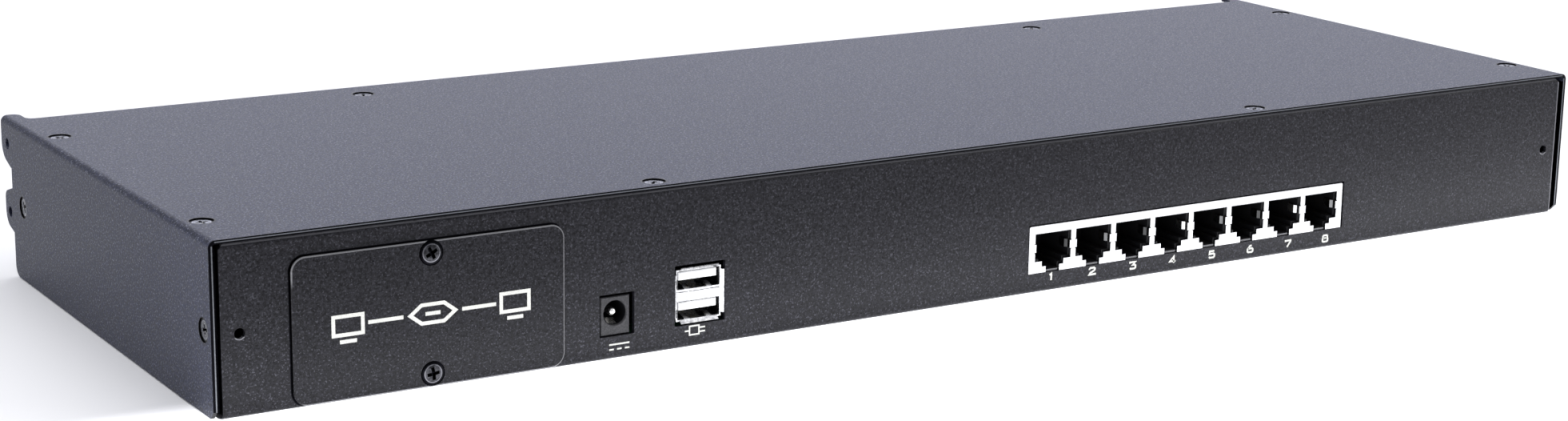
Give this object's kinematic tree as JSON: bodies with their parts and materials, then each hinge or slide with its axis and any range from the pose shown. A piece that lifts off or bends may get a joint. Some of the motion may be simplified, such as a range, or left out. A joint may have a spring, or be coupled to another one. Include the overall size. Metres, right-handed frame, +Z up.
{
  "type": "kvm switch",
  "caption": "Slim rack-width KVM switch module in folded sheet steel, with modular ports, stacked USB, a power inlet, a blanking plate and side ears.",
  "frame": {"origin": "bottom centre of the whole object's box, on the tray's underside", "axes": "+Z up, the connector panel faces -Y, +X is to the right when facing that panel, and the ears reach to +Y"},
  "size_m": [0.44, 0.1608, 0.044],
  "materials": {
    "cover_powder_coat": "fine-textured satin powder coat, dark blue grey",
    "tray_powder_coat": "fine-textured satin powder coat, near black",
    "plate_powder_coat": "fine-textured satin powder coat, near black",
    "cover_screw": "dark zinc-nickel plated steel",
    "black_screw": "black oxide steel",
    "zinc_steel": "zinc plated",
    "shield_plating": "tin plated steel, satin",
    "black_moulding": "black glass-filled moulding",
    "white_moulding": "white moulding",
    "gold_contact": "gold flashed",
    "nickel_pin": "nickel plated",
    "board_laminate": "green solder mask",
    "clear_sheet": "black polyester film",
    "chip_resin": "moulded epoxy",
    "tinned_lead": "tinned",
    "can_sleeve": "sleeved can",
    "ferrite": "ferrite",
    "fuse_body": "ceramic",
    "sink_anodised": "black anodised",
    "ceramic_brown": "ceramic"
  },
  "bodies": {
    "chassis": {"top_cover": "cover_powder_coat", "chassis_tray": "tray_powder_coat", "option_plate_nuts": "zinc_steel", "cover_top_screws": "cover_screw", "cover_top_nuts": "zinc_steel", "cover_side_screws": "cover_screw", "cover_side_nuts": "black_screw", "main_board": "board_laminate", "insulating_sheet": "clear_sheet", "board_standoffs": "zinc_steel", "board_screws": "zinc_steel", "option_bay_standoffs": "zinc_steel", "port_shield": "shield_plating", "port_housing": "black_moulding", "port_contacts": "gold_contact", "usb_shell": "shield_plating", "usb_insulator": "white_moulding", "usb_contacts": "gold_contact", "power_jack_body": "black_moulding", "power_jack_pin": "nickel_pin", "power_jack_spring": "nickel_pin", "link_shell": "shield_plating", "link_insert": "black_moulding", "link_contacts": "gold_contact", "link_jack_posts": "zinc_steel", "matrix_switch_chip": "chip_resin", "main_processor": "chip_resin", "memory_chip": "chip_resin", "port_driver_chips": "chip_resin", "chip_leads": "tinned_lead", "clock_crystal": "nickel_pin", "electrolytic_capacitors": "can_sleeve", "power_inductor": "ferrite", "input_fuse": "fuse_body", "regulator": "chip_resin", "heat_sink": "sink_anodised", "sounder": "black_moulding", "ceramic_capacitors": "ceramic_brown", "chip_resistors": "chip_resin", "option_header_shroud": "black_moulding", "option_header_pins": "gold_contact"},
    "option_plate": {"option_plate": "plate_powder_coat", "option_plate_screws": "black_screw"}
  },
  "joints": [
    {"name": "option_plate_slide", "type": "slide", "parent": "chassis", "child": "option_plate", "axis": [0, -1, 0], "range_m": [0, 0.025]}
  ]
}
